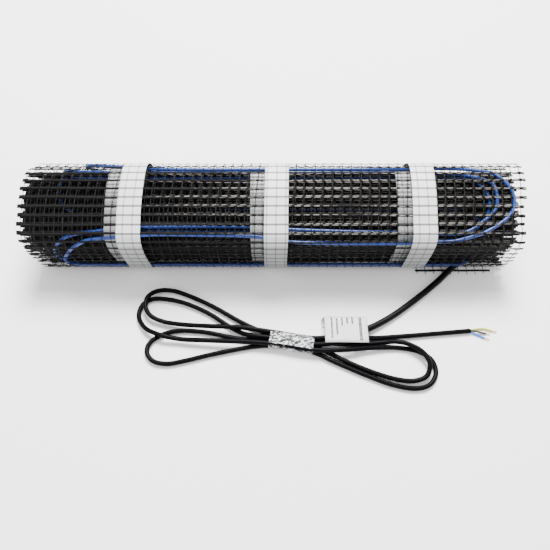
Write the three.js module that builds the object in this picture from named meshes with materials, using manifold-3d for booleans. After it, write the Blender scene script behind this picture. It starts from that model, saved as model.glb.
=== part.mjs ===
// Underfloor heating mat: a rolled mesh mat with its heating cable and tape strips, lying beside its tied cold lead.
// Millimetres. +Z up, +X along the roll, +Y away from the cold lead. The roll rests on Z = 0.
import * as THREE from 'three';
import { mergeVertices } from 'three/addons/utils/BufferGeometryUtils.js';
import Module from 'manifold-3d';

const wasm = await Module();
wasm.setup();

const CLEARANCE = 0.3;

// Roll. Each turn's shift is how far its edge stands to the left of the outermost turn's.
const MAT_WIDTH = 504;
const TURN_SHIFTS = [0, 8, 5, 7, 3, 6, 4, 7];
const BORE_RADIUS = 22;
const OUTER_RADIUS = 50;
const TURN_GROOVE_WIDTH = 1;
const TURN_GROOVE_DEPTH = 5;
const ROLL_AXIS_HEIGHT = 48;
const SECTION_SIDES = 48;

// Tape strips
const TAPE_WIDTH = 25;
const TAPE_THICKNESS = 0.6;
const TAPE_PITCH = 149;

// Cables
const HEATING_CABLE_DIAMETER = 3.7;
const JOINT_SLEEVE_DIAMETER = 6.9;
const COLD_LEAD_DIAMETER = 5;
const CORE_DIAMETER = 2;
const CONDUCTOR_DIAMETER = 1.2;
const CABLE_SIDES = 8;
const GROOVE_CLEARANCE = 0.5;
const CABLE_COVER = 0.1;

// Film wrap round the hank: six strands in two rows of three
const WRAP_CENTRE = [17, -132.2];
const WRAP_TURN_DEG = -9.5;
const WRAP_LENGTH = 45;
const FILM_THICKNESS = 0.3;
const STRAND_PITCH = 6.6;
const ROW_PITCH = 5.4;
const STRAND_CLEARANCE = 0.35;

// Label tag
const LABEL_LEFT = 51;
const LABEL_LENGTH = 44;
const LABEL_THICKNESS = 0.4;
const LABEL_SECTION = [
  [-113, 0.6], [-108.5, 0.6], [-105.3, 2.4], [-104, 6], [-104.9, 9.9], [-108.2, 11.9], [-114, 12.1], [-135.3, 11.4],
];

const skinLow = CLEARANCE + TAPE_THICKNESS;
const halfLength = (MAT_WIDTH + Math.max(...TURN_SHIFTS)) / 2;
const lowRow = FILM_THICKNESS + STRAND_CLEARANCE + COLD_LEAD_DIAMETER / 2;
const highRow = lowRow + ROW_PITCH;
const wrapTurn = THREE.MathUtils.degToRad(WRAP_TURN_DEG);

// Outline of the roll's skin across its length, as [y, z], from the front end of its flat underside round by the top.
const FLAT_REAR = 24;
const FLAT_FRONT = -30;
const SKIN_OUTLINE = [
  [-38.5, 3.5], [-43.5, 10], [-46.5, 22], [-49.3, 34], [-51.4, 46], [-52.2, 57], [-51.5, 66.5],
  [-47.9, 73.4], [-39, 78.4], [-24.4, 85.6], [-4.6, 92.8], [14, 96], [24.5, 95.6], [34.5, 90.6],
  [43.5, 79.5], [49.5, 66], [52.1, 51], [50.5, 34], [44.5, 17], [34.5, 5],
];

// Heating cable: from the joint sleeve's inner end, then on the outermost turn as [x, angle]: degrees from straight
// down, round by the front.
const CABLE_START = [[206.3, -31.7, 4.6], [213, -26, 3.6]];
const CABLE_ON_SKIN = [
  [217, 22], [213, 12], [200, 5], [180, 2], [0, 2], [-188, 2], [-207, 359], [-220, 348], [-226, 334],
  [-220, 320], [-207, 309], [-188, 306], [0, 306], [188, 306], [207, 303], [220, 293], [226, 281],
  [220, 269], [207, 259], [188, 256], [0, 256], [-165, 256], [-186, 254], [-201, 246], [-207, 233],
  [-202, 219], [-188, 209], [-165, 206], [0, 205], [165, 207], [196, 205], [211, 203], [222, 199],
  [232, 190], [239, 180], [242.5, 166], [243, 154], [240, 143], [231, 132], [213, 120.5], [199, 115.6],
  [183, 110.5], [166, 109.3], [126, 107], [15, 109.5], [-15, 115.7], [-75, 117.8], [-126, 118], [-162, 114.8],
  [-182, 112.7], [-192, 110], [-201, 103.3], [-208, 97], [-217, 82],
  [-224, 67], [-223, 57], [-209, 51], [-190, 50], [0, 50], [128, 50],
];

const SLEEVE_NOTCH_ROUTE = [[209, -29.2, 4.8], [206, -32, 4.6], [198, -39.5, 4], [189, -48, 3.6]];
const JOINT_SLEEVE_ROUTE = [
  ...SLEEVE_NOTCH_ROUTE.slice(1), [178, -58.5, 3.6], [151, -81, 3.6], [121, -103, 3.7], [96, -117, 4.9],
  [81, -122, 5.6],
];

// Cold lead from the joint sleeve to its stripped end: six strands through the film wrap, loops at both sides.
const COLD_LEAD_ROUTE = [
  [80.4, -122.3, 5.7], [68, -125.5, 7.8], wrapPoint(1, 1, highRow), wrapPoint(-1, 1, highRow),
  [-36, -117, 8.5], [-68, -115, 7.6], [-97, -112, 5.5], [-118, -108, 5], [-131, -102, 6.8],
  [-137, -92, 8.7], [-136, -80, 8.3], [-128, -71, 5], [-114, -69, 3.1], [-97, -74, 2.6],
  [-68, -88, 2.6], [-37, -107, 2.6], [-20, -116, 2.8], wrapPoint(-1, 1, lowRow), wrapPoint(1, 1, lowRow),
  [62, -132.8, 2.7], [87, -133.4, 2.6], [112, -131.6, 3.7], [124, -132.5, 6.8], [136, -136, 8.2],
  [149, -145, 8.4], [154, -157, 7.5], [150, -168.5, 4.8], [138, -173.2, 3.2], [123, -172, 2.6],
  [102, -165.8, 2.6], [73, -153, 2.6], [53, -142, 2.8], wrapPoint(1, 0, lowRow), wrapPoint(-1, 0, lowRow),
  [-36, -127.5, 2.8], [-73, -119.5, 2.6], [-101, -118, 2.6], [-118, -123, 2.6], [-129, -133, 3.1],
  [-130, -143, 3.3], [-123, -152, 3.1], [-109, -155, 2.6], [-92, -152, 2.6], [-61, -144, 2.6],
  wrapPoint(-1, -1, lowRow), wrapPoint(1, -1, lowRow),
  [60, -153, 2.8], [89, -166.5, 2.6], [116, -177.3, 2.6], [138, -181, 2.6], [152, -177, 2.6],
  [160, -165, 2.6], [158, -151, 2.6], [147, -142, 2.6], [126, -137.3, 2.6], [99, -138.4, 4.8],
  [71, -142, 8.2], wrapPoint(1, -1, highRow), wrapPoint(-1, -1, highRow),
  [-72, -131, 7], [-98, -129, 5.9], [-119, -125, 8], [-135, -116, 5.5], [-144, -101, 3.1],
  [-142, -87, 2.6], [-133, -80, 2.6], [-118, -80, 3.1], [-97, -85, 3.3], [-71, -97, 2.8],
  [-49, -112, 2.6], [-41, -117, 2.6], [-34, -121.8, 5.2], [-26, -125.3, 7.8],
  wrapPoint(-1, 0, highRow), wrapPoint(1, 0, highRow),
  [61, -134.6, 8.4], [75, -132.1, 8.4], [90, -127.8, 5], [104, -126.3, 2.7], [135, -124, 2.6],
  [203, -118, 2.6],
];

// Cores out of the stripped end: insulated run, then its bare tip.
const CORES = [
  {
    name: 'neutral',
    material: 'coreBlue',
    route: [[203.4, -119.4, 1.6], [206, -120, 1.5], [211, -122.5, 1.2], [217, -125.5, 1.1]],
    tip: [[217.3, -125.65, 1.1], [221.5, -127.4, 1.1]],
  },
  {
    name: 'live',
    material: 'coreBrown',
    route: [[203.4, -118, 3.5], [208, -118.6, 3.1], [213, -119.3, 1.8], [219.5, -120.6, 1.2]],
    tip: [[219.8, -120.65, 1.2], [223.8, -120.8, 1.2]],
  },
  {
    name: 'earth',
    material: 'coreGreenYellow',
    route: [[203.4, -116.6, 1.6], [209, -115.8, 1.5], [214, -114.8, 1.3], [219, -115, 1.2], [227, -117.4, 1.1]],
    tip: [[227.3, -117.5, 1.1], [231, -118.6, 1.1]],
  },
];

const MATERIALS = {
  mesh: { color: 0x1d1d1f, roughness: 0.75, metalness: 0 },
  tape: { color: 0xe9e7e0, roughness: 0.55, metalness: 0 },
  heatingCable: { color: 0x2b5b9e, roughness: 0.4, metalness: 0 },
  leadSheath: { color: 0x17181a, roughness: 0.45, metalness: 0 },
  film: { color: 0xc9ced2, roughness: 0.2, metalness: 0 },
  paper: { color: 0xf1f1ee, roughness: 0.6, metalness: 0 },
  coreBlue: { color: 0x2a6fc4, roughness: 0.4, metalness: 0 },
  coreBrown: { color: 0x3d2b25, roughness: 0.4, metalness: 0 },
  coreGreenYellow: { color: 0x9fb62b, roughness: 0.4, metalness: 0 },
  copper: { color: 0xc58b58, roughness: 0.35, metalness: 1 },
};

// A curve whose sections fall on its own points, so that bends get more of them than straight runs.
class PointedCurve extends THREE.CatmullRomCurve3 {
  constructor(route) {
    super(route.map((point) => new THREE.Vector3(...point)), false, 'centripetal');
  }

  getUtoTmapping(u) {
    return u;
  }
}

// A strand's centre at one end of the film wrap: end is 1 or -1, lane counts strands across from the middle.
function wrapPoint(end, lane, height) {
  const along = (end * WRAP_LENGTH) / 2;
  const across = lane * STRAND_PITCH;
  return [
    WRAP_CENTRE[0] + along * Math.cos(wrapTurn) - across * Math.sin(wrapTurn),
    WRAP_CENTRE[1] + along * Math.sin(wrapTurn) + across * Math.cos(wrapTurn),
    height,
  ];
}

function tube(route, diameter) {
  const corners = [];
  for (let side = 0; side < CABLE_SIDES; side += 1) {
    const angle = (2 * Math.PI * side) / CABLE_SIDES;
    corners.push(new THREE.Vector2(Math.cos(angle), Math.sin(angle)).multiplyScalar(diameter / 2));
  }
  return new THREE.ExtrudeGeometry(new THREE.Shape(corners), {
    steps: route.length - 1,
    extrudePath: new PointedCurve(route),
    bevelEnabled: false,
  });
}

function toSolid(geometry) {
  const bare = geometry.clone();
  bare.deleteAttribute('normal');
  bare.deleteAttribute('uv');
  const merged = mergeVertices(bare, 1e-4);
  return new wasm.Manifold(new wasm.Mesh({
    numProp: 3,
    vertProperties: Float32Array.from(merged.attributes.position.array),
    triVerts: Uint32Array.from(merged.index.array),
  }));
}

function toGeometry(solid) {
  const mesh = solid.getMesh();
  const geometry = new THREE.BufferGeometry();
  geometry.setAttribute('position', new THREE.BufferAttribute(Float32Array.from(mesh.vertProperties), 3));
  geometry.setIndex(Array.from(mesh.triVerts));
  return geometry;
}

// The skin's distances from the roll's axis at equal angles, counted from straight down round by the front.
function skinDistances() {
  const path = new THREE.Path();
  path.moveTo(FLAT_REAR, skinLow);
  path.lineTo(FLAT_FRONT, skinLow);
  path.splineThru([...SKIN_OUTLINE, [FLAT_REAR, skinLow]].map((point) => new THREE.Vector2(...point)));
  const axis = new THREE.Vector2(0, ROLL_AXIS_HEIGHT);
  const points = path.getPoints(6).map((point) => point.sub(axis));
  const distances = [];
  for (let side = 0; side < SECTION_SIDES; side += 1) {
    const angle = (2 * Math.PI * side) / SECTION_SIDES;
    const ray = new THREE.Vector2(-Math.sin(angle), -Math.cos(angle));
    let reach = 0;
    for (let i = 1; i < points.length; i += 1) {
      const edge = points[i].clone().sub(points[i - 1]);
      const across = ray.cross(edge);
      const along = points[i - 1].cross(ray) / across;
      if (along >= 0 && along <= 1) {
        reach = Math.max(reach, points[i - 1].cross(edge) / across);
      }
    }
    distances.push(reach);
  }
  return distances;
}

const skin = skinDistances();

function skinDistanceAt(angle) {
  const turns = angle / (2 * Math.PI);
  const place = (turns - Math.floor(turns)) * SECTION_SIDES;
  const side = Math.floor(place) % SECTION_SIDES;
  return THREE.MathUtils.lerp(skin[side], skin[(side + 1) % SECTION_SIDES], place - Math.floor(place));
}

function skinPoint(x, angle, depth) {
  const distance = skinDistanceAt(angle) - depth;
  return [x, -distance * Math.sin(angle), ROLL_AXIS_HEIGHT - distance * Math.cos(angle)];
}

// The skin's outline across the roll, moved outwards square to its sides.
function skinOutline(offset) {
  const corners = skin.map((_, side) => {
    const [, y, z] = skinPoint(0, (2 * Math.PI * side) / SECTION_SIDES, 0);
    return new THREE.Vector2(y, z);
  });
  return corners.map((corner, side) => {
    const before = corner.clone().sub(corners.at(side - 1)).normalize();
    const after = corners[(side + 1) % SECTION_SIDES].clone().sub(corner).normalize();
    const square = new THREE.Vector2(-after.y, after.x);
    const mitre = new THREE.Vector2(-before.y, before.x).add(square).normalize();
    return corner.clone().addScaledVector(mitre, offset / mitre.dot(square));
  });
}

// Both ends of the roll step from turn to turn, with a groove between each turn and the next.
function rollEnd(direction) {
  const pitch = (OUTER_RADIUS - BORE_RADIUS) / TURN_SHIFTS.length;
  const ends = TURN_SHIFTS.map((shift) => (direction > 0 ? halfLength - shift : halfLength - shift - MAT_WIDTH));
  const profile = [[OUTER_RADIUS, ends[0]]];
  for (let turn = 1; turn < ends.length; turn += 1) {
    const between = OUTER_RADIUS - turn * pitch;
    const outer = between + TURN_GROOVE_WIDTH / 2;
    const inner = between - TURN_GROOVE_WIDTH / 2;
    const floor = direction * (Math.min(direction * ends[turn - 1], direction * ends[turn]) - TURN_GROOVE_DEPTH);
    profile.push([outer, ends[turn - 1]], [outer, floor], [inner, floor], [inner, ends[turn]]);
  }
  profile.push([BORE_RADIUS, ends.at(-1)]);
  return profile;
}

function roll() {
  const right = rollEnd(1).reverse();
  const profile = [...right, ...rollEnd(-1), right[0]];
  const turned = new THREE.LatheGeometry(
    profile.map(([radius, x]) => new THREE.Vector2(radius, -x)),
    SECTION_SIDES,
  );
  const place = turned.attributes.position;
  for (let i = 0; i < place.count; i += 1) {
    const angle = Math.atan2(place.getX(i), place.getZ(i));
    const radius = Math.hypot(place.getX(i), place.getZ(i));
    const share = (radius - BORE_RADIUS) / (OUTER_RADIUS - BORE_RADIUS);
    const distance = BORE_RADIUS + share * (skinDistanceAt(angle) - BORE_RADIUS);
    place.setXYZ(
      i,
      -place.getY(i),
      -distance * Math.sin(angle),
      ROLL_AXIS_HEIGHT - distance * Math.cos(angle),
    );
  }
  const groove = tube(heatingCableRoute(), HEATING_CABLE_DIAMETER + 2 * GROOVE_CLEARANCE);
  const notch = tube(SLEEVE_NOTCH_ROUTE, JOINT_SLEEVE_DIAMETER + 2 * GROOVE_CLEARANCE);
  return toSolid(turned).subtract(toSolid(groove)).subtract(toSolid(notch));
}

function heatingCableRoute() {
  const depth = HEATING_CABLE_DIAMETER / 2 + CABLE_COVER;
  const onSkin = CABLE_ON_SKIN.map(([x, degrees]) => skinPoint(x, THREE.MathUtils.degToRad(degrees), depth));
  return [...CABLE_START, ...onSkin];
}

// Places a shape drawn as [across, up] and drawn out along a level direction.
function drawnOut(shape, length, centre, turn) {
  const along = new THREE.Vector3(Math.cos(turn), Math.sin(turn), 0);
  const across = new THREE.Vector3(-Math.sin(turn), Math.cos(turn), 0);
  const up = new THREE.Vector3(0, 0, 1);
  const placed = new THREE.Matrix4().makeBasis(across, up, along);
  placed.setPosition(centre[0], centre[1], 0);
  const geometry = new THREE.ExtrudeGeometry(shape, { depth: length, bevelEnabled: false, curveSegments: 3 });
  return geometry.translate(0, 0, -length / 2).applyMatrix4(placed);
}

function tapeStrip(x) {
  const outside = new THREE.Shape(skinOutline(CLEARANCE + TAPE_THICKNESS));
  const inside = new THREE.Shape(skinOutline(CLEARANCE));
  const band = toSolid(drawnOut(outside, TAPE_WIDTH, [x, 0], 0));
  return toGeometry(band.subtract(toSolid(drawnOut(inside, 2 * TAPE_WIDTH, [x, 0], 0))));
}

function roundedBox(path, halfWidth, low, high, corner) {
  path.moveTo(-halfWidth + corner, low);
  path.lineTo(halfWidth - corner, low);
  path.absarc(halfWidth - corner, low + corner, corner, -Math.PI / 2, 0, false);
  path.absarc(halfWidth - corner, high - corner, corner, 0, Math.PI / 2, false);
  path.absarc(corner - halfWidth, high - corner, corner, Math.PI / 2, Math.PI, false);
  path.absarc(corner - halfWidth, low + corner, corner, Math.PI, 1.5 * Math.PI, false);
  return path;
}

function filmWrap() {
  const corner = COLD_LEAD_DIAMETER / 2 + STRAND_CLEARANCE;
  const halfWidth = STRAND_PITCH + corner;
  const low = lowRow - corner;
  const high = highRow + corner;
  const film = FILM_THICKNESS;
  const shape = roundedBox(new THREE.Shape(), halfWidth + film, low - film, high + film, corner + film);
  shape.holes.push(roundedBox(new THREE.Path(), halfWidth, low, high, corner));
  return drawnOut(shape, WRAP_LENGTH - 2 * CLEARANCE, WRAP_CENTRE, wrapTurn);
}

// A folded sheet: both its faces follow the fold line at half the thickness.
function labelTag() {
  const line = LABEL_SECTION.map((point) => new THREE.Vector2(...point));
  const face = (side) => line.map((point, i) => {
    const ahead = line[Math.min(i + 1, line.length - 1)].clone().sub(line[Math.max(i - 1, 0)]).normalize();
    return point.clone().addScaledVector(new THREE.Vector2(-ahead.y, ahead.x), (side * LABEL_THICKNESS) / 2);
  });
  const shape = new THREE.Shape([...face(1), ...face(-1).reverse()]);
  return drawnOut(shape, LABEL_LENGTH, [LABEL_LEFT + LABEL_LENGTH / 2, 0], 0);
}

const group = new THREE.Group();

function add(name, geometry, material) {
  const mesh = new THREE.Mesh(geometry, new THREE.MeshStandardMaterial(MATERIALS[material]));
  mesh.name = name;
  group.add(mesh);
}

add('mesh_roll', toGeometry(roll()), 'mesh');
add('tape_strip_left', tapeStrip(-TAPE_PITCH), 'tape');
add('tape_strip_middle', tapeStrip(0), 'tape');
add('tape_strip_right', tapeStrip(TAPE_PITCH), 'tape');
add('heating_cable', tube(heatingCableRoute(), HEATING_CABLE_DIAMETER), 'heatingCable');
add('joint_sleeve', tube(JOINT_SLEEVE_ROUTE, JOINT_SLEEVE_DIAMETER), 'leadSheath');
add('cold_lead', tube(COLD_LEAD_ROUTE, COLD_LEAD_DIAMETER), 'leadSheath');
add('film_wrap', filmWrap(), 'film');
add('label_tag', labelTag(), 'paper');
for (const core of CORES) {
  add(`core_${core.name}`, tube(core.route, CORE_DIAMETER), core.material);
  add(`conductor_${core.name}`, tube(core.tip, CONDUCTOR_DIAMETER), 'copper');
}

export default group;
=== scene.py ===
import math

import bpy
import numpy as np
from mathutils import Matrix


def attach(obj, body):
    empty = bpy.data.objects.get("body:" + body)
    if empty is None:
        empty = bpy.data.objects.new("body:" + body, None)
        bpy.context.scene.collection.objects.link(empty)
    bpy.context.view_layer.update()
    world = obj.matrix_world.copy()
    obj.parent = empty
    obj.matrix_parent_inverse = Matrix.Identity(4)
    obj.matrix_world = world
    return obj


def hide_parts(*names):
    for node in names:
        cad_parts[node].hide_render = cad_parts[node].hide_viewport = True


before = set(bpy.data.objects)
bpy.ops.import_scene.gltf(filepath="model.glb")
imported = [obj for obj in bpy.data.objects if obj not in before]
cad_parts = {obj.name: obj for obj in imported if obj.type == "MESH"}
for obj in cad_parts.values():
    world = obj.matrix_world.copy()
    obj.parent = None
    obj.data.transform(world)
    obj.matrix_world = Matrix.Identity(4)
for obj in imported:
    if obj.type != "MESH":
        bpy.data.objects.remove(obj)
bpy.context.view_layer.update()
MM = 0.001
rng = np.random.default_rng(7)

# Roll: the same section, bore and turns as the CAD part, in millimetres.
AXIS_Z = 48.0
SKIN_LOW = 0.9
BORE = 22.0
OUTER = 50.0
TURNS = 8.0
# The outermost turn lies snug on the next one, which leaves the pitch of the rest a little wider.
SNUG_TURNS = 0.35
WOUND_PITCH = (OUTER - BORE) / (TURNS - SNUG_TURNS)
FREE_END_DEG = 38.0
FLAT = [(24.0, SKIN_LOW), (-30.0, SKIN_LOW)]
SKIN = [
    (-38.5, 3.5), (-43.5, 10), (-46.5, 22), (-49.3, 34), (-51.4, 46), (-52.2, 57), (-51.5, 66.5),
    (-47.9, 73.4), (-39, 78.4), (-24.4, 85.6), (-4.6, 92.8), (14, 96), (24.5, 95.6), (34.5, 90.6),
    (43.5, 79.5), (49.5, 66), (52.1, 51), (50.5, 34), (44.5, 17), (34.5, 5),
]
# How far each turn has drifted along the roll, by turns counted in from the free end.
DRIFT_TURNS = [-0.5, 0.0, 0.35, 0.5, 0.62, 0.7, 0.88, 0.98, 1.3, 1.9, 2.4, 3.0, 4.0, 5.0, 6.0, 7.0, 8.0]
DRIFT_MM = [1, 1, 2, 4, 0.5, -1.7, -1.8, 0.6, -8, -8, -5, -8, -4, -7, -5, -8, -5]
# How much further the tape has crept across the mesh.
TAPE_CREEP_MM = [0, 0, -0.5, -1.5, 1, 2.6, 2.4, 0.6, -5, -5, -4, -3, -4, -3, -4, -3, -4]

# Mesh, tape and cords, in millimetres.
CELL = 9.6
HALF_WIDTH = 249.6
WARP_COUNT = 53
WEFT_PITCH = 9.5
FIRST_WEFT = 6.0
WARP_HALF_THICK = 0.16
WEFT_HALF_THICK = 0.26
FREE_END_HALF_THICK = 0.3
CABLE_DIAMETER = 3.7
SLEEVE_DIAMETER = 6.9
LEAD_DIAMETER = 5.0
CORE_DIAMETER = 2.0
CONDUCTOR_DIAMETER = 1.2
TAPE_WIDTH = 24.4
TAPE_PITCH = 149.0
TAPE_SHIFT = 1.0


def catmull(points, per):
    """Points along a centripetal Catmull-Rom curve, per of them in each span."""
    p = np.asarray(points, float)
    p = np.vstack([2 * p[0] - p[1], p, 2 * p[-1] - p[-2]])
    out = []
    for a, b, c, d in zip(p[:-3], p[1:-2], p[2:-1], p[3:]):
        ta = np.linalg.norm(b - a) ** 0.5
        tb = ta + np.linalg.norm(c - b) ** 0.5
        tc = tb + np.linalg.norm(d - c) ** 0.5
        t = np.linspace(ta, tb, per, endpoint=False)[:, None]
        ab = (ta - t) / ta * a + t / ta * b
        bc = (tb - t) / (tb - ta) * b + (t - ta) / (tb - ta) * c
        cd = (tc - t) / (tc - tb) * c + (t - tb) / (tc - tb) * d
        abc = (tb - t) / tb * ab + t / tb * bc
        bcd = (tc - t) / (tc - ta) * bc + (t - ta) / (tc - ta) * cd
        out.append((tb - t) / (tb - ta) * abc + (t - ta) / (tb - ta) * bcd)
    out.append(p[-2:-1])
    return np.vstack(out)


outline = np.vstack([
    np.linspace(FLAT[0], FLAT[1], 40),
    catmull([FLAT[1], *SKIN, FLAT[0]], 12),
])
skin_angle = np.degrees(np.arctan2(-outline[:, 0], AXIS_Z - outline[:, 1])) % 360
skin_reach = np.hypot(outline[:, 0], AXIS_Z - outline[:, 1])
order = np.argsort(skin_angle)
skin_angle, skin_reach = skin_angle[order], skin_reach[order]


def smooth(low, high, value):
    t = np.clip((value - low) / (high - low), 0, 1)
    return t * t * (3 - 2 * t)


def spiral(x, turn, inset):
    """A point of the mat, turn counted in from the free end, inset towards the axis. All in millimetres."""
    x, turn, inset = np.broadcast_arrays(np.asarray(x, float), turn, inset)
    angle = FREE_END_DEG - 360 * turn
    reach = np.interp(angle % 360, skin_angle, skin_reach, period=360)
    depth = WOUND_PITCH * (turn - SNUG_TURNS) * smooth(0.93, 1.05, turn) + inset
    share = 1 - depth / (OUTER - BORE)
    distance = BORE + share * (reach - BORE)
    drift = np.interp(turn, DRIFT_TURNS, DRIFT_MM)
    a = np.radians(angle)
    return np.stack([x + drift, -distance * np.sin(a), AXIS_Z - distance * np.cos(a)], axis=-1)


turn_samples = np.linspace(0, TURNS, 4001)
centre_line = spiral(0.0, turn_samples, 0.0)
run_length = np.concatenate([[0], np.cumsum(np.hypot(*np.diff(centre_line[:, 1:], axis=0).T))])
MAT_LENGTH = run_length[-1]


def turn_at(length):
    return np.interp(length, run_length, turn_samples)


# Materials

def material(name, colour, roughness, metallic=0.0, specular=0.5):
    m = bpy.data.materials.new(name)
    m.use_nodes = True
    shader = m.node_tree.nodes["Principled BSDF"]
    shader.inputs["Base Color"].default_value = (*colour, 1)
    shader.inputs["Roughness"].default_value = roughness
    shader.inputs["Metallic"].default_value = metallic
    shader.inputs["Specular IOR Level"].default_value = specular
    return m


def node(m, kind, **values):
    n = m.node_tree.nodes.new(kind)
    for key, value in values.items():
        if hasattr(n, key):
            setattr(n, key, value)
        else:
            n.inputs[key.replace("_", " ")].default_value = value
    return n


def link(m, source, target):
    m.node_tree.links.new(source, target)


def ramp(m, stops):
    r = m.node_tree.nodes.new("ShaderNodeValToRGB")
    while len(r.color_ramp.elements) < len(stops):
        r.color_ramp.elements.new(0.5)
    for element, (place, colour) in zip(r.color_ramp.elements, stops):
        element.position = place
        element.color = (*colour, 1)
    return r


def base_colour(m, source):
    link(m, source, m.node_tree.nodes["Principled BSDF"].inputs["Base Color"])


def noise_colour(m, scale, stops):
    """Gives the material's base colour from a noise pattern through a colour ramp."""
    where = node(m, "ShaderNodeTexCoord")
    noise = node(m, "ShaderNodeTexNoise", Scale=scale, Detail=3.0)
    link(m, where.outputs["Object"], noise.inputs["Vector"])
    colours = ramp(m, stops)
    link(m, noise.outputs["Fac"], colours.inputs["Fac"])
    base_colour(m, colours.outputs["Color"])


def maths(m, operation, one, other=None):
    """The output of a maths node. Each input is a socket or a number."""
    n = node(m, "ShaderNodeMath", operation=operation)
    for socket, value in zip(n.inputs, (one, other)):
        if isinstance(value, (int, float)):
            socket.default_value = value
        elif value is not None:
            link(m, value, socket)
    return n.outputs[0]


def ranged(m, source, low, high, to_low=0.0, to_high=1.0, interpolation="SMOOTHSTEP"):
    """The source with low and high taken to to_low and to_high, and held there beyond them."""
    n = node(m, "ShaderNodeMapRange", interpolation_type=interpolation)
    n.inputs["From Min"].default_value = low
    n.inputs["From Max"].default_value = high
    n.inputs["To Min"].default_value = to_low
    n.inputs["To Max"].default_value = to_high
    link(m, source, n.inputs["Value"])
    return n.outputs["Result"]


def map_axes(m):
    """The texture coordinates' node, and the first and second axis of the object's own map."""
    where = node(m, "ShaderNodeTexCoord")
    split = node(m, "ShaderNodeSeparateXYZ")
    link(m, where.outputs["UV"], split.inputs["Vector"])
    return where, split.outputs["X"], split.outputs["Y"]


def stretched(m, source, scale):
    mapping = node(m, "ShaderNodeMapping")
    mapping.inputs["Scale"].default_value = scale
    link(m, source, mapping.inputs["Vector"])
    return mapping.outputs["Vector"]


def grey(value):
    return (value, value, value)


def bump(m, source, strength, distance):
    b = node(m, "ShaderNodeBump", Strength=strength, Distance=distance)
    link(m, source, b.inputs["Height"])
    link(m, b.outputs["Normal"], m.node_tree.nodes["Principled BSDF"].inputs["Normal"])


weft = material("mesh_weft", (0.003, 0.003, 0.004), 0.7, specular=0.12)
# Added to a strand's number in the map on every turn but the outermost.
INNER_STRANDS = 1000.0


def weft_glints():
    """Black strands with painted highlights: pale glint dashes between the warps, on the strands' tops,
    stronger on the inner turns, towards the right and on faces turned up. The map is in mesh cells and strand
    numbers.
    """
    where, along, strand = map_axes(weft)
    grain = node(weft, "ShaderNodeTexNoise", Scale=700.0, Detail=3.0)
    link(weft, where.outputs["Object"], grain.inputs["Vector"])
    bump(weft, grain.outputs["Fac"], 0.4, 0.0004)
    patch = node(weft, "ShaderNodeTexNoise", Scale=1.0, Detail=5.0)
    link(weft, stretched(weft, where.outputs["UV"], (0.16, 7.3, 1)), patch.inputs["Vector"])
    geometry = node(weft, "ShaderNodeNewGeometry")
    normal = node(weft, "ShaderNodeSeparateXYZ")
    link(weft, geometry.outputs["Normal"], normal.inputs["Vector"])

    dash = ranged(weft, maths(weft, "PINGPONG", along, 0.5), 0.08, 0.25)
    chosen = ranged(weft, patch.outputs["Fac"], 0.36, 0.6)
    inner = ranged(weft, strand, INNER_STRANDS - 100, INNER_STRANDS, 0.35, interpolation="LINEAR")
    # Painted highlight: the glints are faint at the left and full towards the right, where the light falls.
    painted_glint_towards_right = ranged(weft, along, 8.0, 32.0, 0.12)
    ridge = ranged(weft, maths(weft, "FRACT", strand), 0.1, 0.35)
    # Painted highlight: the glints show only on faces turned up towards the light.
    painted_glint_facing_up = ranged(weft, normal.outputs["Z"], 0.3, 0.75)
    painted_glint_amount = dash
    for factor in (chosen, inner, painted_glint_towards_right, ridge, painted_glint_facing_up, grain.outputs["Fac"]):
        painted_glint_amount = maths(weft, "MULTIPLY", painted_glint_amount, factor)
    # From the near-black strand colour up to the pale colour of the painted glints.
    colours = ramp(weft, [
        (0.0, (0.002, 0.002, 0.0025)),
        (0.08, grey(0.008)),
        (0.15, (0.22, 0.21, 0.195)),
    ])
    link(weft, painted_glint_amount, colours.inputs["Fac"])
    base_colour(weft, colours.outputs["Color"])


weft_glints()
warp = material("mesh_warp", (0.008, 0.007, 0.006), 0.7, specular=0.15)
noise_colour(warp, 500, [(0.35, (0.005, 0.004, 0.004)), (0.75, (0.038, 0.033, 0.029))])
cable_blue = material("heating_cable_blue", (0.004, 0.03, 0.18), 0.3, specular=0.45)
noise_colour(cable_blue, 60, [(0.3, (0.003, 0.022, 0.14)), (0.7, (0.005, 0.036, 0.21))])
lead_black = material("lead_black", (0.002, 0.002, 0.0025), 0.34, specular=0.04)
sleeve_black = material("sleeve_black", (0.002, 0.002, 0.0025), 0.3, specular=0.08)
core_blue = material("core_blue", (0.02, 0.13, 0.5), 0.4)
core_brown = material("core_brown", (0.035, 0.018, 0.013), 0.4)
core_earth = material("core_green_yellow", (0.5, 0.55, 0.06), 0.4)
copper = material("copper", (0.72, 0.38, 0.22), 0.35, metallic=1.0)

# Painted shade: the outermost tape is darkened past the front crease, where it faces down away from the light
# over the dark turns.
# The place is counted in mesh cells from the free end.
FRONT_CREASE_DEG = 114
crease_turn = (FREE_END_DEG + 360 - FRONT_CREASE_DEG) / 360
TAPE_PAINTED_SHADE_FROM = (float(np.interp(crease_turn, turn_samples, run_length)) - FIRST_WEFT) / WEFT_PITCH


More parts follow.
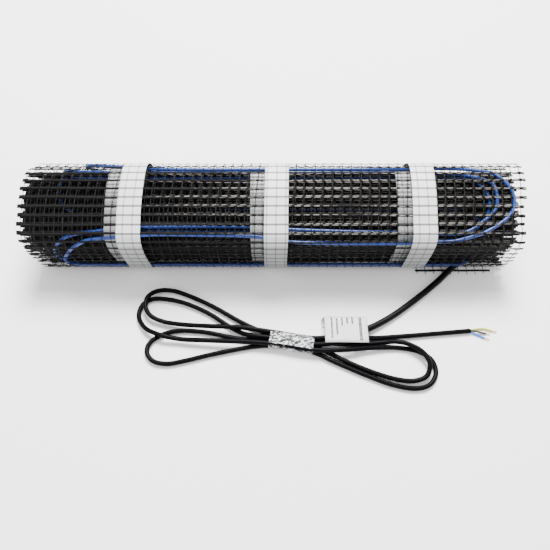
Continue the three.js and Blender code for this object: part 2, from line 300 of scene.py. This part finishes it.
def tape_material():
    """White tape with the mesh beneath showing as faint embossed lines, and painted shade past the front
    crease: the map's units are mesh cells.
    """
    m = material("tape_white", (0.8, 0.79, 0.76), 0.5)
    _, over, along = map_axes(m)
    lines = []
    for axis, half_width in ((over, 0.055), (along, 0.085)):
        wrap = maths(m, "PINGPONG", axis, 0.5)
        lines.append(ranged(m, wrap, half_width * 1.8, half_width * 0.6))
    both = maths(m, "ADD", maths(m, "MULTIPLY", lines[0], 0.5), lines[1])
    colours = ramp(m, [(0.0, (0.66, 0.67, 0.68)), (0.35, grey(0.36)), (0.69, grey(0.17)), (1.0, grey(0.08))])
    link(m, maths(m, "MULTIPLY", both, 0.69), colours.inputs["Fac"])
    # Painted shade: the tape's colour is taken down to 0.4 of itself past the front crease.
    painted_shade_factor = ranged(m, along, TAPE_PAINTED_SHADE_FROM, TAPE_PAINTED_SHADE_FROM + 1.5, 1.0, 0.4)
    shaded = node(m, "ShaderNodeMix", data_type="RGBA", blend_type="MULTIPLY")
    shaded.inputs[0].default_value = 1.0
    link(m, colours.outputs["Color"], shaded.inputs[6])
    link(m, painted_shade_factor, shaded.inputs[7])
    base_colour(m, shaded.outputs[2])
    bump(m, both, 0.6, 0.0006)
    return m


tape_white = tape_material()


def link_object(o, m):
    bpy.context.scene.collection.objects.link(o)
    o.data.materials.append(m)
    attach(o, "root")
    return o


def mesh_object(name, vertices, faces, m, uvs=None):
    """A smooth mesh, its vertices in millimetres and its map given for each vertex."""
    data = bpy.data.meshes.new(name)
    data.from_pydata((np.asarray(vertices) * MM).tolist(), [], np.asarray(faces).tolist())
    if uvs is not None:
        layer = data.uv_layers.new(name="map")
        corners = np.empty(len(data.loops), dtype=np.int32)
        data.loops.foreach_get("vertex_index", corners)
        layer.data.foreach_set("uv", np.asarray(uvs, np.float32)[corners].ravel())
    data.polygons.foreach_set("use_smooth", [True] * len(data.polygons))
    data.update()
    return link_object(bpy.data.objects.new(name, data), m)


def strand_mesh(lines, wides, half_width, half_thick):
    """Vertices and faces of flat strands from their points, directions (sideways, up) and half widths."""
    vertices, faces, start = [], [], 0
    for points, (side, up), width in zip(lines, wides, half_width):
        n = len(points)
        width = np.broadcast_to(np.asarray(width, float), n)[:, None]
        ring = np.stack([
            points + side * width, points + up * half_thick,
            points - side * width, points - up * half_thick,
        ], axis=1)
        vertices.append(ring.reshape(-1, 3))
        i = start + 4 * np.arange(n - 1)[:, None]
        for k in range(4):
            j = (k + 1) % 4
            faces.append(np.hstack([i + k, i + j, i + 4 + j, i + 4 + k]))
        first = start + np.arange(4)
        faces.append(first[::-1][None])
        faces.append((start + 4 * (n - 1) + np.arange(4))[None])
        start += 4 * n
    return np.vstack(vertices), np.vstack(faces)


def unit(v):
    return v / np.linalg.norm(v, axis=-1, keepdims=True)


# Mesh: thin warps round the roll and flat wefts along it.
warp_turns = np.concatenate([
    np.arange(0, 2, 1 / 80), np.arange(2, 4, 1 / 40), np.arange(4, TURNS + 0.01, 1 / 30),
])
lines, sides, widths = [], [], []
for j in range(WARP_COUNT):
    x0 = -HALF_WIDTH + j * CELL
    wobble = 0.35 * np.sin(warp_turns * 9 + j * 2.4) + 0.25 * np.sin(warp_turns * 23 + j * 5.1)
    points = spiral(x0 + wobble, warp_turns, 0.0)
    along = unit(np.gradient(points, axis=0))
    side = np.broadcast_to([1.0, 0, 0], along.shape)
    lines.append(points)
    sides.append((side, unit(np.cross(along, side))))
    widths.append(np.where(warp_turns < 1, 0.4, 0.34))
v, f = strand_mesh(lines, sides, widths, WARP_HALF_THICK)
mesh_warp = mesh_object("mesh_warp_threads", v, f, warp)

# The first turns are seen close to, so their wefts bend over the warps and vary in width.
FINE_TURNS = 2.1
FINE_STEP = 2.4
weft_count = int(MAT_LENGTH / WEFT_PITCH)
lines, sides, widths, rows = [], [], [], []
for k in range(weft_count):
    turn = float(turn_at(FIRST_WEFT + WEFT_PITCH * k))
    fine = turn < FINE_TURNS
    reach_left = HALF_WIDTH + rng.uniform(2.6, 4.8)
    reach_right = HALF_WIDTH + rng.uniform(2.6, 6.4)
    x = np.arange(-reach_left, reach_right, FINE_STEP if fine else CELL)
    x = np.append(x, reach_right)
    wander = np.interp(x, np.linspace(-260, 260, 14), rng.normal(0, 0.0009, 14))
    at = turn + wander + 0.0016 * np.sin(x / 61 + k)
    lift = -0.25 * np.cos(2 * np.pi * (x + HALF_WIDTH) / CELL) if fine else 0.0
    points = spiral(x, at, lift)
    ahead = spiral(x, at + 0.002, lift)
    side = unit(ahead - points)
    up = unit(np.cross(side, np.broadcast_to([1.0, 0, 0], side.shape)))
    lines.append(points)
    sides.append((side, up))
    wide = 1.1 if turn < 1 else 1.65
    frayed = 0.6 * smooth(HALF_WIDTH - 8, HALF_WIDTH, np.abs(x))
    uneven = 0.2 * np.cos(2 * np.pi * x / 4.8 + k) + rng.normal(0, 0.07, len(x))
    widths.append(wide + frayed + uneven if fine else 2.7)
    cells = np.repeat((x + HALF_WIDTH) / CELL, 4)
    ridge = np.tile([0.0, 0.5, 0.0, 0.0], len(x))
    rows.append(np.stack([cells, ridge + k + (0 if turn < 1 else INNER_STRANDS)], axis=1))
v, f = strand_mesh(lines, sides, widths, WEFT_HALF_THICK)
mesh_weft = mesh_object("mesh_weft_strands", v, f, weft, np.vstack(rows))
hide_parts("mesh_roll")

# Tape strips over the mesh, along the whole mat, sagging a little between the strands.
tape_turns = np.concatenate([np.arange(0, 2, 1 / 120), np.arange(2, TURNS + 0.01, 1 / 40)])
tape_cells = (np.interp(tape_turns, turn_samples, run_length)[:, None] - FIRST_WEFT) / WEFT_PITCH
creep = np.interp(tape_turns, DRIFT_TURNS, TAPE_CREEP_MM)[:, None]
across = np.linspace(-TAPE_WIDTH / 2, TAPE_WIDTH / 2, 13)
TAPE_CENTRES = {"left": -TAPE_PITCH + TAPE_SHIFT, "middle": 0.0, "right": TAPE_PITCH + TAPE_SHIFT}
for name, centre in TAPE_CENTRES.items():
    rows = []
    x = centre + creep + across[None, :] + 0.25 * np.sin(tape_turns[:, None] * 11 + centre)
    sag = 0.22 * np.cos(2 * np.pi * (x + HALF_WIDTH) / CELL) * np.cos(2 * np.pi * tape_cells)
    for lift in (-0.67, -0.47):
        rows.append(spiral(x, tape_turns[:, None], lift + 0.25 * sag))
    n, w = rows[0].shape[:2]
    vertices = np.vstack([r.reshape(-1, 3) for r in rows])
    i, k = np.meshgrid(np.arange(n - 1), np.arange(w - 1), indexing="ij")
    a = (i * w + k).ravel()
    top = np.stack([a, a + 1, a + w + 1, a + w], axis=1)
    bottom = top[:, ::-1] + n * w
    edge = np.arange(n - 1) * w
    left = np.stack([edge, edge + w, edge + w + n * w, edge + n * w], axis=1)
    edge = edge + w - 1
    right = np.stack([edge, edge + n * w, edge + w + n * w, edge + w], axis=1)
    uv = np.stack([
        np.broadcast_to((centre + across[None, :] + HALF_WIDTH) / CELL, (n, w)),
        np.broadcast_to(tape_cells, (n, w)),
    ], axis=-1).reshape(-1, 2)
    faces = np.vstack([top, bottom, left, right])
    strip = mesh_object(f"tape_{name}", vertices, faces, tape_white, np.vstack([uv, uv]))
    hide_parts(f"tape_strip_{name}")


def rod(name, points, diameter, m, resolution=5):
    """A round cable as a curve with one open spline, points in millimetres."""
    data = bpy.data.curves.new(name, "CURVE")
    data.dimensions = "3D"
    data.bevel_depth = diameter * MM / 2
    data.bevel_resolution = resolution
    data.use_fill_caps = True
    spline = data.splines.new("POLY")
    spline.points.add(len(points) - 1)
    flat = np.ones((len(points), 4))
    flat[:, :3] = np.asarray(points) * MM
    spline.points.foreach_set("co", flat.ravel())
    spline.use_smooth = True
    return link_object(bpy.data.objects.new(name, data), m)


# Heating cable: from the joint sleeve, the outermost turn listed as (x, angle), then run after run.
CABLE_START = [(206.3, -31.7, 4.6), (213, -26, 3.6)]
OUTER_CABLE = [
    (217, 22), (213, 12), (200, 5), (180, 2), (0, 2), (-188, 2), (-207, -1), (-220, -12), (-226, -26),
    (-220, -40), (-207, -51), (-188, -54), (0, -54), (188, -54), (207, -57), (220, -67), (226, -79),
    (220, -91), (207, -101), (188, -104), (0, -104), (-165, -104), (-186, -106), (-201, -114), (-207, -127),
    (-202, -136), (-188, -142), (-165, -145.5), (-148, -149), (-120, -152.5), (0, -153), (140, -152),
    (165, -151), (196, -153), (209, -156), (223, -159.5), (232, -169), (239, -180), (242.5, -194),
    (243, -206), (240, -217), (231, -228), (213, -239.5), (199, -244.4), (183, -249.5), (166, -250.7),
    (126, -253), (15, -250.5), (-15, -244.3), (-75, -242.2), (-126, -242), (-162, -245.2), (-182, -247.3),
    (-192, -250), (-201, -256.7), (-208, -263), (-217, -278), (-224, -293), (-223, -303), (-209, -309),
    (-190, -310), (0, -310), (170, -311),
]
# The second turn likewise, as far as the bottom run where the turns inside hide the rest.
SECOND_CABLE = [
    (200, -313), (220, -330), (226, -356), (220, -385), (200, -400), (180, -401), (-180, -401), (-203, -404),
    (-222, -424), (-228, -454), (-220, -486), (-203, -505), (-180, -508), (0, -509), (180, -512), (203, -515),
    (214, -519), (231.7, -528.7), (234.7, -541.3), (234.7, -557.2), (232.7, -569.7), (226, -581),
    (218.6, -589.5), (208.5, -598.2), (195.4, -603.5), (181, -604), (134, -602.6), (23, -598.5),
    (-7, -595.8), (-118, -595.6), (-154, -597.1), (-174, -600.8), (-190, -603.2), (-198, -605.2),
    (-211, -613.2), (-222, -631.3), (-227, -652), (-225, -675), (-209, -690), (-185, -693),
]
# The smooth curve is drawn on the flat mat, where a degree of turn is taken as this many millimetres.
DEGREES_TO_MM = 0.85
BEND_REACH = 27
route = [(x, (FREE_END_DEG - angle) * DEGREES_TO_MM, 0.0) for x, angle in OUTER_CABLE + SECOND_CABLE]


def bend(side, reach, start, end):
    """The turn-round between two runs, as (x, place along the mat, 0)."""
    t = np.linspace(0, 1, 9)
    x = side * (reach - BEND_REACH + BEND_REACH * np.sin(np.pi * t))
    return [(xx, start + (end - start) * (0.5 - 0.5 * math.cos(math.pi * tt)), 0.0) for xx, tt in zip(x, t)]


# Runs further in: (turn, reach of the bend after it). They lie wider apart towards the axis.
INNER_RUNS = [(2.03, 224), (2.26, 226), (2.53, 226), (2.785, 222)]
run_turn = INNER_RUNS[-1][0]
while run_turn < TURNS - 0.5:
    run_turn += 0.26 + 0.016 * run_turn
    INNER_RUNS.append((run_turn, 224 + 4 * math.sin(7 * run_turn)))
ends = [turn * 360 * DEGREES_TO_MM for turn, _ in INNER_RUNS]
side = 1
for k in range(len(ends) - 1):
    if k:
        route.append((0.0, ends[k], 0.0))
    route += bend(side, INNER_RUNS[k][1], ends[k], ends[k + 1])
    side = -side
route.append((0.0, ends[-1], 0.0))
path = catmull(route, 7)
cable_inset = 0.1 + CABLE_DIAMETER / 2
line = spiral(path[:, 0], path[:, 1] / (360 * DEGREES_TO_MM), cable_inset)
line = np.vstack([catmull([*CABLE_START, line[0]], 5)[:-1], line])
heating = rod("heating_cable_run", line, CABLE_DIAMETER, cable_blue, resolution=3)
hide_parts("heating_cable")

# Free end of the mat lying on the floor at the front: its last weft and the warps' ends.
LAST_WEFT_Y = -41.3
FREE_WARP_START = 158.8
FREE_WARP_PITCH = 9.3
ACROSS = [1.0, 0, 0]
FORWARD = [0.0, 1, 0]
UPWARD = [0.0, 0, 1]


def flat_sides(points, side):
    return np.broadcast_to(side, points.shape), np.broadcast_to(UPWARD, points.shape)


x = np.arange(157, 243, FINE_STEP)
bar = np.stack([x, LAST_WEFT_Y + 0.15 * np.sin(x / 7), np.full_like(x, 0.55)], axis=1)
lines, sides, widths = [bar], [flat_sides(bar, FORWARD)], [1.3 + 0.12 * np.cos(x * 1.3)]
for k in range(9):
    px = FREE_WARP_START + k * FREE_WARP_PITCH
    y = np.array([-44.6 - rng.uniform(0, 2.2), LAST_WEFT_Y, -37, -33])
    points = np.stack([np.full(4, px), y, [0.35, 0.75, 0.8, 0.9]], axis=1)
    lines.append(points)
    sides.append(flat_sides(points, ACROSS))
    widths.append(0.36)
v, f = strand_mesh(lines, sides, widths, FREE_END_HALF_THICK)
flap = mesh_object("mesh_free_end", v, f, weft)

# Cord: joint sleeve and cold lead, the CAD part's own points.
WRAP_CENTRE = (17.0, -132.2)
WRAP_TURN = math.radians(-9.5)
WRAP_LENGTH = 45.0
STRAND_PITCH = 6.6
LOW_ROW = 3.15
HIGH_ROW = 8.55


def wrap_point(end, lane, height):
    along, side = end * WRAP_LENGTH / 2, lane * STRAND_PITCH
    return (
        WRAP_CENTRE[0] + along * math.cos(WRAP_TURN) - side * math.sin(WRAP_TURN),
        WRAP_CENTRE[1] + along * math.sin(WRAP_TURN) + side * math.cos(WRAP_TURN),
        height,
    )


SLEEVE_ROUTE = [
    (206, -32, 4.6), (198, -39.5, 4), (189, -48, 3.6), (178, -58.5, 3.6), (151, -81, 3.6),
    (121, -103, 3.7), (96, -117, 4.9), (81, -122, 5.6),
]
LEAD_ROUTE = [
    (80.4, -122.3, 5.7), (68, -125.5, 7.8), wrap_point(1, 1, HIGH_ROW), wrap_point(-1, 1, HIGH_ROW),
    (-36, -117, 8.5), (-68, -115, 7.6), (-97, -112, 5.5), (-118, -108, 5), (-131, -102, 6.8),
    (-137, -92, 8.7), (-136, -80, 8.3), (-128, -71, 5), (-114, -69, 3.1), (-97, -74, 2.6),
    (-68, -88, 2.6), (-37, -107, 2.6), (-20, -116, 2.8),
    wrap_point(-1, 1, LOW_ROW), wrap_point(1, 1, LOW_ROW),
    (62, -132.8, 2.7), (87, -133.4, 2.6), (112, -131.6, 3.7), (124, -132.5, 6.8), (136, -136, 8.2),
    (149, -145, 8.4), (154, -157, 7.5), (150, -168.5, 4.8), (138, -173.2, 3.2), (123, -172, 2.6),
    (102, -165.8, 2.6), (73, -153, 2.6), (53, -142, 2.8),
    wrap_point(1, 0, LOW_ROW), wrap_point(-1, 0, LOW_ROW),
    (-36, -127.5, 2.8), (-73, -119.5, 2.6), (-101, -118, 2.6), (-118, -123, 2.6), (-129, -133, 3.1),
    (-130, -143, 3.3), (-123, -152, 3.1), (-109, -155, 2.6), (-92, -152, 2.6), (-61, -144, 2.6),
    wrap_point(-1, -1, LOW_ROW), wrap_point(1, -1, LOW_ROW),
    (60, -153, 2.8), (89, -166.5, 2.6), (116, -177.3, 2.6), (138, -181, 2.6), (152, -177, 2.6),
    (160, -165, 2.6), (158, -151, 2.6), (147, -142, 2.6), (126, -137.3, 2.6), (99, -138.4, 4.8),
    (71, -142, 8.2), wrap_point(1, -1, HIGH_ROW), wrap_point(-1, -1, HIGH_ROW),
    (-72, -131, 7), (-98, -129, 5.9), (-119, -125, 8), (-135, -116, 5.5), (-144, -101, 3.1),
    (-142, -87, 2.6), (-133, -80, 2.6), (-118, -80, 3.1), (-97, -85, 3.3), (-71, -97, 2.8),
    (-49, -112, 2.6), (-41, -117, 2.6), (-34, -121.8, 5.2), (-26, -125.3, 7.8),
    wrap_point(-1, 0, HIGH_ROW), wrap_point(1, 0, HIGH_ROW),
    (61, -134.6, 8.4), (75, -132.1, 8.4), (90, -127.8, 5), (104, -126.3, 2.7), (135, -124, 2.6),
    (203, -118, 2.6),
]
sleeve_line = catmull(SLEEVE_ROUTE, 6)
sleeve = rod("joint_sleeve_tube", sleeve_line, SLEEVE_DIAMETER, sleeve_black, resolution=7)
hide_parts("joint_sleeve")
lead_line = catmull(LEAD_ROUTE, 6)
lead = rod("cold_lead_cable", lead_line, LEAD_DIAMETER, lead_black, resolution=6)
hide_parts("cold_lead")

# Stripped end: each core's name, slot, material, route and the tip of its bare end.
CORES = [
    ("neutral", "core_blue", core_blue,
     [(203.2, -119.3, 1.7), (206, -120, 1.5), (211, -122.5, 1.2), (217, -125.5, 1.1)],
     (221.5, -127.4, 1.1)),
    ("live", "core_brown", core_brown,
     [(203.2, -118, 3.4), (208, -118.6, 3.1), (213, -119.3, 1.8), (219.5, -120.6, 1.2)],
     (223.8, -120.8, 1.2)),
    ("earth", "core_green_yellow", core_earth,
     [(203.2, -116.7, 1.7), (209, -115.8, 1.5), (214, -114.8, 1.3), (219, -115, 1.2), (227, -117.4, 1.1)],
     (231, -118.6, 1.1)),
]
ends = []
for name, slot_name, m, route, tip in CORES:
    core = rod(f"core_{name}_wire", catmull(route, 6), CORE_DIAMETER, m, resolution=4)
    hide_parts(f"core_{name}")
    bare_line = catmull([route[-1], tip], 4)
    bare = rod(f"conductor_{name}_wire", bare_line, CONDUCTOR_DIAMETER, copper, resolution=3)
    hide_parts(f"conductor_{name}")
    ends += [core, bare]


def film_material():
    """Clear crinkled film: mostly see-through, with painted white glints on the crinkles, in bands round the
    sleeve where the light catches it. The map's second axis runs round it.
    """
    m = material("clear_film", (0.86, 0.88, 0.9), 0.15, specular=0.6)
    where, _, around = map_axes(m)
    creases = node(m, "ShaderNodeTexNoise", Scale=480.0, Detail=3.0, Roughness=0.6)
    link(m, stretched(m, where.outputs["Object"], (0.7, 1.3, 1)), creases.inputs["Vector"])
    # Painted highlights: white glints where the crinkles catch the light, see-through elsewhere.
    painted_glint_amount = ramp(m, [(0.46, grey(0.04)), (0.52, grey(0.3)), (0.57, grey(0.97))])
    link(m, creases.outputs["Fac"], painted_glint_amount.inputs["Fac"])
    # Bands round the sleeve where the painted glints show fully, partly or hardly at all.
    dense = ramp(m, [
        (0.13, grey(0.15)), (0.19, grey(0.75)), (0.33, grey(1)), (0.37, grey(0.1)),
        (0.42, grey(0.1)), (0.46, grey(0.6)), (0.6, grey(0.6)),
    ])
    link(m, around, dense.inputs["Fac"])
    clear = maths(m, "MULTIPLY", painted_glint_amount.outputs["Color"], dense.outputs["Color"])
    link(m, clear, m.node_tree.nodes["Principled BSDF"].inputs["Alpha"])
    bump(m, creases.outputs["Fac"], 1.0, 0.0015)
    return m


# Film wrap: a crinkled sleeve, open at both ends, round with flattened sides.
FILM_HALF_WIDTH = STRAND_PITCH + 3.1
FILM_HALF_HEIGHT = 5.75
FILM_MIDDLE_Z = 5.9
FILM_FLOOR_Z = 0.06
FILM_POWER = 0.62
FILM_CREASE_SHARE = 0.035
film_x = np.linspace(-WRAP_LENGTH / 2, WRAP_LENGTH / 2, 61)[:, None]
film_angle = np.linspace(0, 2 * np.pi, 73)[None, :-1]
crease = (
    0.35 * np.sin(film_angle * 5 + film_x * 0.55)
    + 0.28 * np.sin(film_angle * 11 - film_x * 0.9 + 1.3)
    + 0.2 * np.sin(film_angle * 3 + film_x * 1.7)
)
scale = 1 + FILM_CREASE_SHARE * crease
cos_a, sin_a = np.cos(film_angle), np.sin(film_angle)
film_side = FILM_HALF_WIDTH * np.sign(cos_a) * np.abs(cos_a) ** FILM_POWER * scale
film_height = FILM_HALF_HEIGHT * np.sign(sin_a) * np.abs(sin_a) ** FILM_POWER * scale
film_points = np.stack([
    WRAP_CENTRE[0] + film_x * math.cos(WRAP_TURN) - film_side * math.sin(WRAP_TURN),
    WRAP_CENTRE[1] + film_x * math.sin(WRAP_TURN) + film_side * math.cos(WRAP_TURN),
    np.maximum(FILM_MIDDLE_Z + film_height, FILM_FLOOR_Z),
], axis=-1)
n, c = film_points.shape[:2]
i, k = np.meshgrid(np.arange(n - 1), np.arange(c), indexing="ij")
a, b = (i * c + k).ravel(), (i * c + (k + 1) % c).ravel()
film_uv = np.stack(np.broadcast_arrays(film_x / WRAP_LENGTH, film_angle / (2 * np.pi)), axis=-1)
faces = np.stack([a, b, b + c, a + c], axis=1)
film = mesh_object("film_sleeve", film_points.reshape(-1, 3), faces, film_material(), film_uv.reshape(-1, 2))
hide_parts("film_wrap")


def label_material():
    """White sheet with a thin frame and short broken rules. The map runs 0 to 1 over the sheet."""
    m = material("label_paper", (0.86, 0.86, 0.85), 0.5)
    where, over, up = map_axes(m)

    def box(x0, x1, y0, y1):
        inside = [
            maths(m, "MULTIPLY", maths(m, "GREATER_THAN", axis, low), maths(m, "LESS_THAN", axis, high))
            for axis, low, high in ((over, x0, x1), (up, y0, y1))
        ]
        return maths(m, "MULTIPLY", *inside)

    # Rules hanging from the top edge and a bolder one at the right: (left, right, bottom, top).
    rules = [
        (0.145, 0.19, 0.14, 0.9), (0.265, 0.31, 0.26, 0.86), (0.39, 0.43, 0.58, 0.9),
        (0.51, 0.555, 0.66, 0.9), (0.63, 0.675, 0.64, 0.92), (0.8, 0.87, 0.06, 0.9),
    ]
    frame_lines = [(0.06, 0.068, 0.0, 0.93), (0.06, 0.93, 0.925, 0.94), (0.922, 0.93, 0.0, 0.93)]
    ink = box(*rules[0])
    for rule in rules[1:]:
        ink = maths(m, "MAXIMUM", ink, box(*rule))
    broken = node(m, "ShaderNodeTexNoise", Scale=26.0, Detail=2.0)
    link(m, where.outputs["UV"], broken.inputs["Vector"])
    dense = ramp(m, [(0.34, grey(0.4)), (0.46, grey(1))])
    link(m, broken.outputs["Fac"], dense.inputs["Fac"])
    ink = maths(m, "MULTIPLY", ink, dense.outputs["Color"])
    for frame_line in frame_lines:
        ink = maths(m, "MAXIMUM", ink, maths(m, "MULTIPLY", box(*frame_line), 0.45))
    mix = node(m, "ShaderNodeMix", data_type="RGBA")
    mix.inputs[6].default_value = (0.58, 0.58, 0.57, 1)
    mix.inputs[7].default_value = (0.02, 0.02, 0.02, 1)
    link(m, ink, mix.inputs[0])
    base_colour(m, mix.outputs[2])
    return m


# Label tag: a sheet folded over the lead, its section as (y, z) from the lower leaf to the upper one.
LABEL_LEFT = 51.0
LABEL_LENGTH = 44.0
LABEL_THICK = 0.3
LABEL_FOLD_Y = -104.0
LABEL_EDGE_Y = -135.3
UPPER_LEAF_Z = 9
LOWER_LEAF_SHIFT = 2.4
LABEL_SECTION = [
    (-113, 0.6), (-108.5, 0.6), (-105.3, 2.4), (LABEL_FOLD_Y, 6), (-104.9, 9.9), (-108.2, 11.9), (-114, 12.1),
    (LABEL_EDGE_Y, 11.4),
]
section = catmull([(y, z, 0) for y, z in LABEL_SECTION], 6)
leaf_y, leaf_z = section[None, :, 0], section[None, :, 1]
along_label = np.linspace(0, LABEL_LENGTH, 23)[:, None]
sheet_points = np.stack(np.broadcast_arrays(
    LABEL_LEFT + along_label - LOWER_LEAF_SHIFT * (1 - smooth(2, UPPER_LEAF_Z, leaf_z)),
    leaf_y,
    leaf_z + 0.35 * np.sin(along_label / 9) * (leaf_z > UPPER_LEAF_Z),
), axis=-1)
n, c = sheet_points.shape[:2]
i, k = np.meshgrid(np.arange(n - 1), np.arange(c - 1), indexing="ij")
a = (i * c + k).ravel()
leaf_share = np.clip((leaf_y - LABEL_EDGE_Y) / (LABEL_FOLD_Y - LABEL_EDGE_Y), 0, 1)
uv = np.stack(np.broadcast_arrays(
    along_label / LABEL_LENGTH, np.where(leaf_z > UPPER_LEAF_Z, leaf_share, 0.0),
), axis=-1)
faces = np.stack([a, a + c, a + c + 1, a + 1], axis=1)
label = mesh_object("label_sheet", sheet_points.reshape(-1, 3), faces, label_material(), uv.reshape(-1, 2))
thick = label.modifiers.new("thickness", "SOLIDIFY")
thick.thickness = LABEL_THICK * MM
thick.offset = 0
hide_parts("label_tag")

# Floor, light and camera, in metres
FLOOR_HALF = 4
FLOOR_Z = -0.0004
floor_corners = [(x * FLOOR_HALF, y * FLOOR_HALF, FLOOR_Z) for x, y in ((-1, -1), (1, -1), (1, 1), (-1, 1))]
floor_data = bpy.data.meshes.new("floor")
floor_data.from_pydata(floor_corners, [], [(0, 1, 2, 3)])
floor = bpy.data.objects.new("floor", floor_data)
bpy.context.scene.collection.objects.link(floor)
floor_data.materials.append(material("floor_white", (0.95, 0.95, 0.95), 0.8))

world = bpy.data.worlds.new("studio")
world.use_nodes = True
world.node_tree.nodes["Background"].inputs["Color"].default_value = (1, 1, 1, 1)
world.node_tree.nodes["Background"].inputs["Strength"].default_value = 1.3
bpy.context.scene.world = world


def area_light(name, place, target, size, power):
    """A round lamp at a place, facing the target."""
    data = bpy.data.lights.new(name, "AREA")
    data.shape = "DISK"
    data.size = size
    data.energy = power
    o = bpy.data.objects.new(name, data)
    o.location = place
    direction = np.asarray(target, float) - np.asarray(place, float)
    o.rotation_euler = (
        math.acos(-direction[2] / np.linalg.norm(direction)), 0,
        math.atan2(direction[1], direction[0]) - math.pi / 2,
    )
    bpy.context.scene.collection.objects.link(o)


area_light("key", (0.1, 0.95, 1.7), (0, 0, 0), 0.9, 150)
area_light("fill", (-0.9, -0.7, 1.3), (0, -0.05, 0), 1.2, 6)

# The camera's place and view angle, as worked out from the photograph.
SENSOR_MM = 36
FOCAL_PIXELS = 541
PICTURE_PIXELS = 550
CAMERA_DOWN_DEG = 57
camera_data = bpy.data.cameras.new("camera")
camera_data.sensor_width = SENSOR_MM
camera_data.lens = SENSOR_MM * FOCAL_PIXELS / PICTURE_PIXELS
camera = bpy.data.objects.new("camera", camera_data)
camera.location = (0, -0.376, 0.5067)
camera.rotation_euler = (math.radians(90 - CAMERA_DOWN_DEG), 0, 0)
bpy.context.scene.collection.objects.link(camera)
bpy.context.scene.camera = camera
